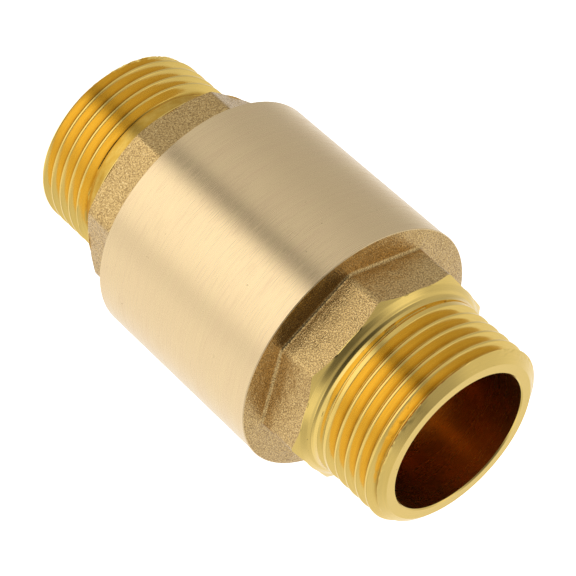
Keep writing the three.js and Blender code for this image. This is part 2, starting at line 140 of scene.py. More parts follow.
class Graph:
    """The nodes of one material, or of the world."""

    def __init__(self, tree: bpy.types.NodeTree) -> None:
        """Clears the tree."""
        self.tree = tree
        self.tree.nodes.clear()

    def node(
        self,
        kind: str,
        settings: dict[str, object] | None = None,
        values: Sequence[object] | dict[object, object] = (),
        output: int | str = 0,
    ) -> Wire:
        """Adds a node.

        Args:
            kind: The node's type.
            settings: Properties set first; "stops" fills a colour ramp.
            values: Inputs, by place or by name: wires or plain values.
            output: The output that the wire stands for.

        Returns:
            The wire of that output.
        """
        made = self.tree.nodes.new(kind)
        for key, value in (settings or {}).items():
            if key == "stops":
                self._fill_ramp(made.color_ramp, value)
            else:
                setattr(made, key, value)
        pairs = values.items() if isinstance(values, dict) else enumerate(values)
        for key, value in pairs:
            socket = made.inputs[key]
            if isinstance(value, Wire):
                self.tree.links.new(value.socket, socket)
            else:
                socket.default_value = value
        return Wire(self, made.outputs[output] if made.outputs else None)

    @staticmethod
    def _fill_ramp(ramp: bpy.types.ColorRamp, stops: Sequence[tuple[float, Colour]]) -> None:
        """Sets a ramp's stops.

        Args:
            ramp: The colour ramp.
            stops: Place and colour of each stop, in order.
        """
        while len(ramp.elements) < len(stops):
            ramp.elements.new(1.0)
        for element, (place, colour) in zip(ramp.elements, stops):
            element.position = place
            element.color = colour

    def place(self, scale: tuple[float, float, float] = (1.0, 1.0, 1.0)) -> Wire:
        """The point on the piece in millimetres.

        Args:
            scale: Stretches the point along X, Y and Z.

        Returns:
            The wire of the stretched point.
        """
        point = self.node("ShaderNodeTexCoord", {}, [], "Object")
        by = tuple(s / MM for s in scale)
        return self.node("ShaderNodeVectorMath", {"operation": "MULTIPLY"}, [point, by])

    def axes(self, vector: Wire) -> list[Wire]:
        """The X, Y and Z of a vector."""
        parts = self.node("ShaderNodeSeparateXYZ", {}, [vector]).socket.node
        return [Wire(self, output) for output in parts.outputs]

    def step(self, value: Wire, low: float, high: float) -> Wire:
        """A smooth step from 0 at low to 1 at high."""
        settings = {"interpolation_type": "SMOOTHSTEP"}
        return self.node("ShaderNodeMapRange", settings, [value, low, high, 0.0, 1.0])

    def noise(self, vector: Wire, scale: float, detail: float = 2.0, rough: float = 0.5) -> Wire:
        """Noise of about one grain to 1 / scale millimetres."""
        inputs = {"Vector": vector, "Scale": scale, "Detail": detail, "Roughness": rough}
        return self.node("ShaderNodeTexNoise", {}, inputs)

    def cells(self, vector: Wire, scale: float) -> Wire:
        """Distance to the nearest of scattered points."""
        return self.node("ShaderNodeTexVoronoi", {}, {"Vector": vector, "Scale": scale})

    def ramp(self, value: Wire, stops: Stops) -> Wire:
        """A value redrawn through stops."""
        colours = [(place, (level, level, level, 1.0)) for place, level in stops]
        return self.node("ShaderNodeValToRGB", {"stops": colours}, [value])

    def mix(self, factor: object, a: object, b: object, blend: str = "MIX") -> Wire:
        """Two colours mixed by a factor."""
        settings = {"data_type": "RGBA", "blend_type": blend, "clamp_factor": True}
        return self.node("ShaderNodeMix", settings, {0: factor, 6: a, 7: b}, 2)

    def bump(self, height: Wire, distance_mm: float, strength: float = 1.0) -> Wire:
        """A bumped normal; height 1 stands distance_mm proud."""
        inputs = {"Height": height, "Distance": distance_mm * MM, "Strength": strength}
        return self.node("ShaderNodeBump", {}, inputs)

    def surface(self, values: dict[str, object]) -> None:
        """Ends the graph in one Principled shader."""
        shader = self.node("ShaderNodeBsdfPrincipled", {}, values)
        self.node("ShaderNodeOutputMaterial", {}, {"Surface": shader})


@dataclass(frozen=True)
class Finish:
    """A finish of one material slot; subclasses draw it."""

    name: str
    slot: Slot
    colour: Colour
    roughness: float
    metallic: float = 1.0

    def material(self) -> bpy.types.Material:
        """Makes the material once and then reuses it.

        Returns:
            The material.
        """
        found = bpy.data.materials.get(self.name)
        if found:
            return found
        made = bpy.data.materials.new(self.name)
        made.use_nodes = True
        made.diffuse_color = self.colour
        self.draw(Graph(made.node_tree))
        return made

    def draw(self, graph: Graph) -> None:
        """Draws the finish's nodes in graph."""
        raise NotImplementedError


@dataclass(frozen=True)
class TurnedFinish(Finish):
    """Machined metal: fine tool lines round the axis and a faint uneven tint.

    Painted shade darkens the colour towards a thread's root, from the radius root_shade_from in to
    root_shade_to.
    """

    line_pitch: float = 0.25
    line_depth: float = 0.004
    anisotropy: float = 0.0
    tint: Colour = WHITE
    tint_share: float = 0.15
    rub: float = 0.06
    root_shade: Colour | None = None
    root_shade_from: float = 0.0
    root_shade_to: float = 0.0
    dirt: Colour = (0.20, 0.14, 0.07, 1.0)

    def draw(self, graph: Graph) -> None:
        """Draws tool lines, broad tint, small pits and painted shade towards a thread's root.

        Args:
            graph: The material's nodes.
        """
        along = graph.place((0.05, 0.05, 1.0 / self.line_pitch))
        lines = graph.noise(along, 1.0, 3.0, 0.6)
        broad = graph.noise(graph.place((0.06, 0.06, 0.5)), 1.0, 2.0)
        marks = graph.noise(graph.place(), 1.3, 4.0, 0.6)
        tinted = graph.mix(broad * self.tint_share * 2.0, self.colour, self.tint)
        shade = graph.ramp(lines, [(0.25, 0.94), (0.75, 1.0)])
        colour = graph.mix(1.0, tinted, shade, "MULTIPLY")
        spots = graph.noise(graph.place(), 0.9, 4.0, 0.7)
        pitted = graph.ramp(spots, [(0.27, 0.7), (0.29, 0.0)])
        colour = graph.mix(pitted, colour, self.dirt)
        # Painted shade: the colour darkens into the thread's roots, in place of the shade that
        # falls in the grooves.
        if self.root_shade:
            x, y, _ = graph.axes(graph.place())
            radius = (x * x + y * y) ** 0.5
            deep = graph.step(radius, self.root_shade_from, self.root_shade_to)
            uneven = graph.noise(graph.place((1.0, 1.0, 2.0)), 0.5, 3.0, 0.6)
            colour = graph.mix((deep * (uneven + 0.25)).clamped(), colour, self.root_shade)
        rubs = graph.noise(graph.place((0.22, 0.22, 1.3 / self.line_pitch)), 1.0, 2.0)
        rubbed = graph.ramp(rubs, [(0.5, 0.0), (0.62, 1.0)])
        colour = graph.mix(rubbed * self.rub, colour, self.root_shade or self.tint)
        rough = lines * 0.10 + (marks * 0.06 + (rubbed * self.rub + (self.roughness - 0.08)))
        graph.surface({
            "Base Color": colour,
            "Roughness": rough,
            "Metallic": self.metallic,
            "Anisotropic": self.anisotropy,
            "Anisotropic Rotation": 0.25,
            "Normal": graph.bump(lines, self.line_depth),
        })


@dataclass(frozen=True)
class CastFinish(Finish):
    """Sand-cast brass: grain with painted highlight specks, darker oxide in the pits.

    About as many grains as grain says fit in a millimetre; depth is their height.
    """

    pit: Colour = WHITE
    painted_glint: Colour = WHITE
    grain: float = 3.8
    depth: float = 0.07

    def draw(self, graph: Graph) -> None:
        """Draws grain bump, pits and painted highlight specks.

        Args:
            graph: The material's nodes.
        """
        point = graph.place()
        grains = graph.cells(point, self.grain)
        fine = graph.noise(point, self.grain * 1.3, 2.0, 0.6)
        broad = graph.noise(point, 0.16, 2.0)
        height = fine - grains * 0.3
        pits = graph.ramp(height, [(0.18, 1.0), (0.48, 0.0)])
        # Painted highlight: bright specks on the grain's high points stand in for facets catching
        # the light.
        painted_glints = graph.ramp(height, [(0.50, 0.0), (0.58, 1.0)])
        darker = (pits * 0.70 + broad * 0.12).clamped()
        colour = graph.mix(darker, self.colour, self.pit)
        colour = graph.mix(painted_glints * 0.5, colour, self.painted_glint)
        graph.surface({
            "Base Color": colour,
            "Roughness": pits * 0.1 + self.roughness,
            "Metallic": self.metallic,
            "Normal": graph.bump(height, self.depth),
        })


@dataclass(frozen=True)
class MouldedFinish(Finish):
    """Moulded rubber or turned plastic: matt, with a fine skin.

    About as many grains as skin says fit in a millimetre; depth is their height.
    """

    skin: float = 3.0
    depth: float = 0.02

    def draw(self, graph: Graph) -> None:
        """Draws the skin and a slight mottle.

        Args:
            graph: The material's nodes.
        """
        point = graph.place()
        skin = graph.noise(point, self.skin, 3.0, 0.6)
        mottle = graph.noise(point, 0.4, 2.0)
        lighter = tuple(min(1.0, c * 1.25 + 0.01) for c in self.colour[:3]) + (1.0,)
        graph.surface({
            "Base Color": graph.mix(mottle * 0.6, self.colour, lighter),
            "Roughness": skin * 0.12 + (self.roughness - 0.06),
            "Metallic": self.metallic,
            "Normal": graph.bump(skin, self.depth),
        })


SHELL = TurnedFinish(
    "turned_shell", Slot.CAST_BRASS, (0.93, 0.72, 0.40, 1.0), 0.24,
    line_pitch=0.24, line_depth=0.007, anisotropy=0.6, tint=(0.88, 0.62, 0.38, 1.0),
    tint_share=0.25, rub=0.10,
)
MACHINED = TurnedFinish(
    "machined_brass", Slot.CAST_BRASS, (0.94, 0.66, 0.18, 1.0), 0.19,
    line_pitch=0.12, line_depth=0.002, tint=(0.90, 0.72, 0.28, 1.0),
)
# The thread's roots get painted shade, a darker colour towards the root.
THREAD = TurnedFinish(
    "cut_thread", Slot.CAST_BRASS, (0.95, 0.66, 0.17, 1.0), 0.17,
    line_pitch=0.14, line_depth=0.002, tint=(0.90, 0.70, 0.24, 1.0),
    root_shade=(0.60, 0.33, 0.03, 1.0), root_shade_from=15.75, root_shade_to=15.1,
)
BORE = TurnedFinish(
    "bored_brass", Slot.CAST_BRASS, (0.84, 0.42, 0.09, 1.0), 0.26,
    line_pitch=0.3, line_depth=0.0002, tint=(0.62, 0.30, 0.08, 1.0), tint_share=0.12,
    rub=0.0,
)
# The cast brass carries painted highlight specks on its grain.
CAST = CastFinish(
    "sand_cast_brass", Slot.CAST_BRASS, (0.86, 0.59, 0.24, 1.0), 0.17,
    pit=(0.22, 0.12, 0.04, 1.0), painted_glint=(1.0, 0.84, 0.50, 1.0),
)
INNER_BRASS = TurnedFinish(
    "inner_brass", Slot.TURNED_BRASS, (0.90, 0.70, 0.27, 1.0), 0.22,
    line_pitch=0.15, line_depth=0.003, tint=(0.84, 0.66, 0.34, 1.0),
)
STAINLESS = TurnedFinish(
    "stainless_steel", Slot.STAINLESS, (0.66, 0.66, 0.65, 1.0), 0.24,
    line_pitch=0.2, line_depth=0.002, tint=(0.58, 0.58, 0.60, 1.0),
)
NITRILE = MouldedFinish("nitrile_rubber", Slot.NITRILE, (0.016, 0.016, 0.017, 1.0), 0.55, 0.0)
ACETAL = MouldedFinish(
    "acetal", Slot.ACETAL, (0.80, 0.77, 0.68, 1.0), 0.42, 0.0, skin=5.0, depth=0.01,
)


# ---- Turned meshes -----------------------------------------------------------------------


WORD = 0xFFFFFFFF  # the noise is worked out in words of 32 bits
GRID_PRIMES = (73856093, 19349663, 83492791)
SEED_PRIME = 2654435761
STIR = ((15, 2246822519), (13, 3266489917))


def lattice_noise(points: Array, cell: float, seed: int) -> Array:
    """Smooth noise between -1 and 1, one value for each point.

    Args:
        points: Array of shape (n, 3), in millimetres.
        cell: Size of one grain in millimetres.
        seed: Picks the pattern.

    Returns:
        Array of n values.
    """
    scaled = points / cell
    low = np.floor(scaled).astype(np.int64)
    share = scaled - low
    share = share * share * (3 - 2 * share)
    total = np.zeros(len(points))
    for corner in np.ndindex(2, 2, 2):
        at = low + np.array(corner)
        mixed = np.bitwise_xor.reduce(at * np.array(GRID_PRIMES), axis=1)
        mixed = (mixed ^ (seed * SEED_PRIME)) & WORD
        for shift, factor in STIR:
            mixed = ((mixed ^ (mixed >> shift)) * factor) & WORD
        value = (mixed ^ (mixed >> 16)) / (WORD / 2) - 1.0
        weight = np.prod(np.where(np.array(corner) == 1, share, 1 - share), axis=1)
        total += value * weight
    return total


@dataclass
class Band:
    """One stretch of a turned outline, swept round the axis.

    radius and height have one row for each station and one column for each angle. A band that
    climbs with a thread meets itself again seam_rows higher up after one turn.
    """

    radius: Array
    height: Array
    finish: Finish
    seam_rows: int = 0


class Turning:
    """A closed solid swept round Z from bands that follow one another."""

    def __init__(self, name: str, sides: int = ROUND) -> None:
        """Starts with no bands.

        Args:
            name: The object's name.
            sides: How many columns go round.
        """
        self.name = name
        self.sides = sides
        self.angles = np.arange(sides) * (2 * math.pi / sides)
        self.bands: list[Band] = []

    def add(self, radius: object, height: object, finish: Finish, seam_rows: int = 0) -> None:
        """Adds a band.

        Args:
            radius: Radii of the stations: a list, a column or a full grid.
            height: Heights of the stations, in the same way.
            finish: The band's finish.
            seam_rows: How many stations the band climbs in one turn.
        """
        grids = [np.asarray(v, float) for v in (radius, height)]
        grids = [g[:, None] if g.ndim == 1 else g for g in grids]
        rows = max(len(g) for g in grids)
        full = [np.broadcast_to(g, (rows, self.sides)) for g in grids]
        self.bands.append(Band(full[0].copy(), full[1].copy(), finish, seam_rows))

    def line(self, start: tuple, end: tuple, finish: Finish, steps: int = 1) -> None:
        """Adds a straight band.

        Args:
            start: Radius and height of its first station, each a number or one for each column.
            end: Radius and height of its last station.
            finish: The band's finish.
            steps: How many rows of faces it has.
        """
        share = np.linspace(0.0, 1.0, steps + 1)[:, None]
        first, last = (
            [np.broadcast_to(np.asarray(v, float), self.sides) for v in station]
            for station in (start, end)
        )
        radius, height = (a[None] * (1 - share) + b[None] * share for a, b in zip(first, last))
        self.add(radius, height, finish)

    def path(self, points: Sequence[Point], finish: Finish) -> None:
        """Adds one straight band for each pair of points."""
        for start, end in zip(points, points[1:]):
            self.line(start, end, finish)

    def roughen(self, band: Band, depth: float, cell: float, seed: int) -> None:
        """Moves a band's inner stations in and out, as a sand mould leaves them.

        Args:
            band: The band, changed in place.
            depth: About how far, in millimetres.
            cell: Size of one hump in millimetres.
            seed: Picks the pattern.
        """
        flat = np.stack([
            (band.radius * np.cos(self.angles)).ravel(),
            (band.radius * np.sin(self.angles)).ravel(),
            band.height.ravel(),
        ], axis=1)
        shift = lattice_noise(flat, cell, seed) + 0.5 * lattice_noise(flat, cell / 2.2, seed + 1)
        shift = shift.reshape(band.radius.shape) * depth
        along_r = np.gradient(band.radius, axis=0)
        along_z = np.gradient(band.height, axis=0)
        length = np.maximum(np.hypot(along_r, along_z), 1e-9)
        fade = np.sin(np.linspace(0.0, math.pi, len(band.radius)))[:, None] ** 0.3
        band.radius += shift * fade * along_z / length
        band.height -= shift * fade * along_r / length

    def build(self) -> bpy.types.Object:
        """Joins the bands, and the last band's end to the first band's start.

        Returns:
            The object.
        """
        radius = np.concatenate([b.radius for b in self.bands])
        height = np.concatenate([b.height for b in self.bands])
        sides = self.sides
        places = np.stack([
            radius * np.cos(self.angles), radius * np.sin(self.angles), height,
        ], axis=-1).reshape(-1, 3) * MM
        finishes = list(dict.fromkeys(b.finish for b in self.bands))
        faces, slots = [], []
        row = 0
        for band in self.bands:
            rows = len(band.radius)
            for step in range(rows - 1):
                a = (row + step) * sides + np.arange(sides)
                b = (row + step) * sides + (np.arange(sides) + 1) % sides
                b[-1] += band.seam_rows * sides
                kept = slice(None) if 0 <= step + band.seam_rows < rows - 1 else slice(-1)
                faces.append(np.stack([a, b, b + sides, a + sides], axis=1)[kept])
                slots += [finishes.index(band.finish)] * len(faces[-1])
            row += rows
        return make_object(self.name, places, np.concatenate(faces), finishes, slots)


def make_object(
    name: str, places: Array, faces: object, finishes: Sequence[Finish], slots: Sequence[int],
) -> bpy.types.Object:
    """Makes a smooth mesh object in the scene.

    Args:
        name: The object's name.
        places: Points in metres.
        faces: Lists of point numbers.
        finishes: The finishes, in order.
        slots: One finish number for each face.

    Returns:
        The object, welded, with its sharp edges marked.
    """
    mesh = bpy.data.meshes.new(name)
    corners = faces.tolist() if isinstance(faces, np.ndarray) else faces
    mesh.from_pydata(places.tolist(), [], corners)
    mesh.polygons.foreach_set("material_index", slots)
    mesh.polygons.foreach_set("use_smooth", [True] * len(mesh.polygons))
    made = bpy.data.objects.new(name, mesh)
    bpy.context.scene.collection.objects.link(made)
    for finish in finishes:
        mesh.materials.append(finish.material())
    weld(made)
    return made


def weld(made: bpy.types.Object, distance_mm: float = 0.001, sharp_deg: float = 32.0) -> None:
    """Joins doubled points, turns faces outward and marks sharp edges.

    Args:
        made: The mesh object.
        distance_mm: Points closer than this become one.
        sharp_deg: Edges that bend more than this are sharp.
    """
    work = bmesh.new()
    work.from_mesh(made.data)
    bmesh.ops.remove_doubles(work, verts=work.verts, dist=distance_mm * MM)
    bmesh.ops.dissolve_degenerate(work, edges=work.edges, dist=distance_mm * MM * 0.1)
    bmesh.ops.recalc_face_normals(work, faces=work.faces)
    limit = math.radians(sharp_deg)
    for edge in work.edges:
        edge.smooth = len(edge.link_faces) != 2 or edge.calc_face_angle(0.0) < limit
    work.to_mesh(made.data)
    work.free()
    made.data.update()


def hold(made: bpy.types.Object, body: Body, slot: Slot, *nodes: str) -> bpy.types.Object:
    """Rides a piece on a body and hides the CAD nodes that it stands for.

    Args:
        made: The piece.
        body: The body that carries it.
        slot: Its material slot; not used.
        *nodes: The CAD nodes that it replaces.

    Returns:
        The same piece.
    """
    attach(made, body.value)
    if nodes:
        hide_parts(*nodes)
    LOG.info("%s: %d points, on %s", made.name, len(made.data.vertices), body.value)
    return made


def loft(name: str, grid: Array, finish: Finish) -> bpy.types.Object:
    """Makes a solid through closed sections that follow one another.

    Args:
        name: The object's name.
        grid: Points in millimetres, of shape (sections, points, 3).
        finish: The finish all over.

    Returns:
        The object, capped at its first and last section.
    """
    rows, sides = grid.shape[:2]
    here, after = np.arange(sides), (np.arange(sides) + 1) % sides
    faces = [here.tolist(), ((rows - 1) * sides + here[::-1]).tolist()]
    for row in range(rows - 1):
        a, b = row * sides + here, row * sides + after
        faces += np.stack([a, a + sides, b + sides, b], axis=1).tolist()
    return make_object(name, grid.reshape(-1, 3) * MM, faces, [finish], [0] * len(faces))


def polar(angle: Array, radius: Array, height: Array) -> Array:
    """Points from angles, radii and heights, which may be of unlike shapes.

    Args:
        angle: Angles round the axis, in radians.
        radius: Distances from the axis.
        height: Heights.

    Returns:
        Array with one more axis, of length 3.
    """
    angle, radius, height = np.broadcast_arrays(angle, radius, height)
    return np.stack([radius * np.cos(angle), radius * np.sin(angle), height], axis=-1)


def rounded(
    points: Sequence[Point], radius: float, closed: bool = True, steps: int = 3,
) -> list[Point]:
    """Rounds the corners of an outline.

    Args:
        points: The corners, in order.
        radius: How far from each corner the rounding starts.
        closed: Whether the last point joins the first; an open outline keeps its two ends.
        steps: Straight pieces in each rounding.

    Returns:
        The new points; a closed outline repeats its first point at the end.
    """
    made = []
    for i, point in enumerate(points):
        if not closed and i in (0, len(points) - 1):
            made.append(point)
            continue
        at, before, after = (np.array(points[j % len(points)]) for j in (i, i - 1, i + 1))
        sides = [(end - at, np.linalg.norm(end - at)) for end in (before, after)]
        cut = min(radius, *(0.45 * length for _, length in sides))
        start, end = (at + side / length * cut for side, length in sides)
        for share in np.linspace(0.0, 1.0, steps + 1):
            bend = (1 - share) ** 2 * start + 2 * share * (1 - share) * at + share**2 * end
            made.append(tuple(bend))
    return made + made[:1] if closed else made


def merge(name: str, objects: Sequence[bpy.types.Object]) -> bpy.types.Object:
    """Makes one object of several that share one finish.

    Args:
        name: The new object's name.
        objects: The objects; all but the first are removed.

    Returns:
        The object.
    """
    work = bmesh.new()
    for made in objects:
        work.from_mesh(made.data)
    work.to_mesh(objects[0].data)
    work.free()
    for made in objects[1:]:
        bpy.data.objects.remove(made)
    objects[0].name = name
    return objects[0]


# ---- Threads and octagons ----------------------------------------------------------------


@dataclass
class PipeThread:
    """A male thread that runs out towards its collar, seen from the collar up.

    marks are the heights from a crest's middle to half a pitch, at which the mesh has stations.
    """

    crest: float
    root: float
    pitch: float
    crest_at: float
    turn: float
    start: float
    flank: float = math.radians(27.5)
    run_out: float = 2.6
    crest_flat: float = 0.15
    crest_round: float = 0.06
    root_round: float = 0.6
    marks: tuple[float, ...] = (
        0.0, 0.1, 0.15, 0.18, 0.22, 0.3, 0.42, 0.56, 0.7, 0.84, 0.98, 1.08,
    )

    def groove(self, offset: Array) -> Array:
        """Depth of a whole groove.

        Args:
            offset: Distances along the axis from the groove's middle.

        Returns:
            Depths below the crest, in millimetres.
        """
        steep = 1.0 / math.tan(self.flank)
        from_crest = np.maximum(self.pitch / 2 - self.crest_flat - np.abs(offset), 0.0) * steep
        from_root = np.abs(offset) * steep
        top = np.hypot(from_crest, self.crest_round) - self.crest_round
        low = self.crest - self.root - np.hypot(from_root, self.root_round) + self.root_round
        return np.minimum(top, low)

    def stations(self, angles: Array, low: float, high: float, falling: bool) -> tuple[Array, int]:
        """Heights that follow the helix, so that crests and roots fall on mesh edges.

        Args:
            angles: One angle for each column, from 0 up, or from 0 down when falling.
            low: Lowest height.
            high: Highest height.
            falling: Whether the columns go round against the thread's sense.

        Returns:
            Heights of shape (stations, columns) held between low and high, and how many stations
            the thread climbs in one turn, negative when falling.
        """
        half = np.array(self.marks)
        marks = np.unique(np.round(np.append(half, self.pitch - half[1:]), 4))
        turns = int((high - low) / self.pitch) + 4
        first = self.crest_at - self.pitch * math.ceil((self.crest_at - low) / self.pitch + 2)
        column = first + (np.arange(turns + 1)[:, None] * self.pitch + marks[None]).ravel()
        climb = self.pitch * (angles - self.turn) / (2 * math.pi)
        heights = np.clip(column[:, None] + climb[None], low, high)
        return heights, -len(marks) if falling else len(marks)

    def radius(self, angle: Array, height: Array) -> Array:
        """The thread's surface.

        Args:
            angle: Angles round the axis.
            height: Heights.

        Returns:
            The radius at each of them.
        """
        lead = self.pitch * (angle - self.turn) / (2 * math.pi)
        phase = (height - self.crest_at - lead) / self.pitch - 0.5
        nearest = np.round(phase)
        offset = (phase - nearest) * self.pitch
        middle = height - offset
        shallow = np.clip(1.0 - (middle - self.start) / self.run_out, 0.0, 1.0)
        lifted = shallow * (self.crest - self.root)
        return self.crest - np.maximum(self.groove(offset) - lifted, 0.0)


@dataclass
class ThreadedEnd:
    """The outside of one end of the valve, from its shoulder to its end face.

    Heights are counted from the shoulder, outward; those of collar_foot and relief from the
    collar's face, each with how far it stands over the thread's crest.
    """

    flats_length: float
    octagon_turn: float
    crest_at: float
    seed: int
    flat: float = 18.0
    sides: int = 8
    corner_round: float = 1.0
    corner_bevel_deg: float = 60.0
    bevel_least: float = 0.12
    collar: float = 18.12
    port_length: float = 15.8
    crest: float = 16.62
    root: float = 15.15
    pitch: float = 2.309
    bore: float = 12.846
    mouth_edge: float = 0.2
    face_radius: float = 14.65
    lead_in: float = 1.3
    fillet: float = 0.55
    face_rows: int = 12
    side_rows: int = 28
    foot_rows: int = 21
    lead_rows: int = 23
    face_sand: float = 0.045
    side_sand: float = 0.05
    sand_cell: float = 1.1
    nick_depth: float = 0.26
    nick_height: float = 0.8
    nick_cell: float = 0.5
    nick_patch: float = 9.0
    mirrored: bool = False
    run_out_at: float = 1.15
    collar_foot: tuple[Point, ...] = (
        (0.0, 1.5), (0.72, 0.78), (1.0, 0.34), (1.45, 0.1), (1.95, 0.0),
    )
    relief: tuple[Point, ...] = ()

    def octagon(self, angles: Array) -> Array:
        """The octagon with its corners rounded.

        Args:
            angles: Angles round the axis.

        Returns:
            The radius at each of them.
        """
        sector = 2 * math.pi / self.sides
        turned = angles - self.octagon_turn
        offset = np.abs((turned + sector / 2) % sector - sector / 2)
        flat = self.flat / np.cos(offset)
        centre_x = self.flat - self.corner_round
        centre_y = centre_x * math.tan(sector / 2)
        reach = math.hypot(centre_x, centre_y)
        along = centre_x * np.cos(offset) + centre_y * np.sin(offset)
        inside = np.maximum(along**2 - reach**2 + self.corner_round**2, 0.0)
        return np.where(self.flat * np.tan(offset) < centre_y, flat, along + np.sqrt(inside))

    def bands(self, turning: Turning, rim: Point | None, place: Callable) -> None:
        """Adds the bands from the cast face to the bore's mouth.

        Args:
            turning: The solid that they are added to.
            rim: Radius and height at which the cast face starts, or None for a bare octagon.
            place: Turns heights from the shoulder into heights of the valve.
        """
        angles = -turning.angles if self.mirrored else turning.angles
        octagon = self.octagon(angles)
        edge = self.flats_length
        slope = math.tan(math.radians(self.corner_bevel_deg))
        cut = edge - np.maximum((octagon - self.collar) / slope, self.bevel_least)
        foot = self.fillet if rim else 0.0
        if rim:
            start, end = (rim[0], place(rim[1])), (octagon + foot, place(0.0))
            turning.line(start, end, CAST, self.face_rows)
            turning.roughen(turning.bands[-1], self.face_sand, self.sand_cell, self.seed)
            bend = np.linspace(0.0, math.pi / 2, 7)[:, None]
            radius = octagon[None] + foot * (1 - np.sin(bend))
            turning.add(radius, place(foot * (1 - np.cos(bend))), CAST)
        turning.line((octagon, place(foot)), (octagon, place(cut)), CAST, self.side_rows)
        turning.roughen(turning.bands[-1], self.side_sand, self.sand_cell, self.seed + 5)
        collar = np.minimum(self.collar + (edge - cut) * slope, np.maximum(octagon, self.collar))
        turning.line((octagon, place(cut)), (collar, place(cut)), MACHINED)
        turning.line((collar, place(cut)), (self.collar, place(edge)), MACHINED, 3)
        self._thread_bands(turning, angles, place)

    def _thread_bands(self, turning: Turning, angles: Array, place: Callable) -> None:
        """Adds the collar's foot, the thread, its lead-in and the end face.

        Args:
            turning: The solid that they are added to.
            angles: The columns' angles, counted in the thread's own sense.
            place: Turns heights from the shoulder into heights of the valve.
        """
        edge, face = self.flats_length, self.flats_length + self.port_length
        foot_end, lead_start = edge + self.collar_foot[-1][0], face - self.lead_in
        turn = math.pi / 2 if self.mirrored else -math.pi / 2
        thread = PipeThread(
            self.crest, self.root, self.pitch, edge + self.crest_at, turn, edge + self.run_out_at,
        )

        def radius_at(heights: Array) -> Array:
            """The outermost of thread and foot, cut by the relief and the lead-in.

            Args:
                heights: Heights from the shoulder.

            Returns:
                The radius at each height and angle.
            """
            up = heights - edge
            foot = self._profile(self.collar_foot, up, 0.0)
            relief = self._profile(self.relief, up, math.inf)
            slope = (self.crest - self.face_radius) / self.lead_in
            lead = self.face_radius + (face - heights) * slope
            threaded = np.minimum(thread.radius(angles[None], heights), relief)
            return np.minimum(np.maximum(threaded, foot), lead)

        heights = np.linspace(edge, foot_end, self.foot_rows + 1)[:, None]
        turning.add(radius_at(heights), place(heights), MACHINED)
        heights, seam_rows = thread.stations(angles, foot_end, lead_start, self.mirrored)
        turning.add(radius_at(heights), place(heights), THREAD, seam_rows)
        heights = np.linspace(lead_start, face, self.lead_rows + 1)[:, None]
        radius = radius_at(heights)
        radius[1:-1] -= self._nicks(angles, heights[1:-1] - lead_start)
        turning.add(radius, place(heights), MACHINED)
        inner, mouth = self.bore + self.mouth_edge, face - self.mouth_edge
        turning.line((self.face_radius, place(face)), (inner, place(face)), MACHINED, 3)
        turning.line((inner, place(face)), (self.bore, place(mouth)), MACHINED, 2)

    def _nicks(self, angles: Array, up: Array) -> Array:
        """The ragged marks where the last turn of the thread breaks out.

        Args:
            angles: The columns' angles.
            up: Heights above the lead-in's start, one row for each.

        Returns:
            Depth of the marks at each height and angle.
        """
        around = np.broadcast_to(angles[None] * self.crest, (len(up), len(angles)))
        at = np.stack([around, np.broadcast_to(up * 2.5, around.shape), around * 0], axis=-1)
        at = at.reshape(-1, 3)
        rough = lattice_noise(at, self.nick_cell, self.seed).reshape(around.shape)
        rare = lattice_noise(at, self.nick_patch, self.seed + 3).reshape(around.shape)
        near = np.clip(1.0 - up / self.nick_height, 0.0, 1.0)
        patches = np.clip(rare * 2.0 + 0.4, 0.0, 1.0)
        return self.nick_depth * np.clip(rough, 0.0, 1.0) * patches * near

    def _profile(self, points: tuple, up: Array, outside: float) -> Array:
        """A turned profile that stands on the thread's crest.

        Args:
            points: Height and rise of each corner.
            up: Heights.
            outside: The radius beyond the profile's ends.

        Returns:
            The radius at each height.
        """
        if not points:
            return np.full_like(up, outside)
        steps, rises = zip(*points)
        within = (up >= steps[0] - 1e-6) & (up <= steps[-1] + 1e-6)
        return np.where(within, self.crest + np.interp(up, steps, rises), outside)


# ---- Castings ----------------------------------------------------------------------------


@dataclass
class ScrewThread:
    """A plain screw thread; as it stands, the one that joins cap and body."""

    radius: float = 17.0
    depth: float = 1.23
    pitch: float = 2.0
    clearance: float = 0.15
    start: float = 25.6
    length: float = 6.6
    crest_flat: float = 0.125

    def helix(self, growth: float, angles: Array, heights: Array) -> Array:
        """The thread's surface.

        Args:
            growth: How much larger it is all over, for a female thread.
            angles: Angles round the axis.
            heights: Heights.

        Returns:
            The radius at each of them.
        """
        lead = self.pitch * angles / (2 * math.pi)
        phase = (heights - self.start - lead) / self.pitch
        offset = np.abs(phase - np.round(phase)) * self.pitch
        deep = (offset - self.crest_flat - growth / 2) * math.tan(math.radians(60))
        return self.radius + growth - np.clip(deep, 0.0, self.depth)


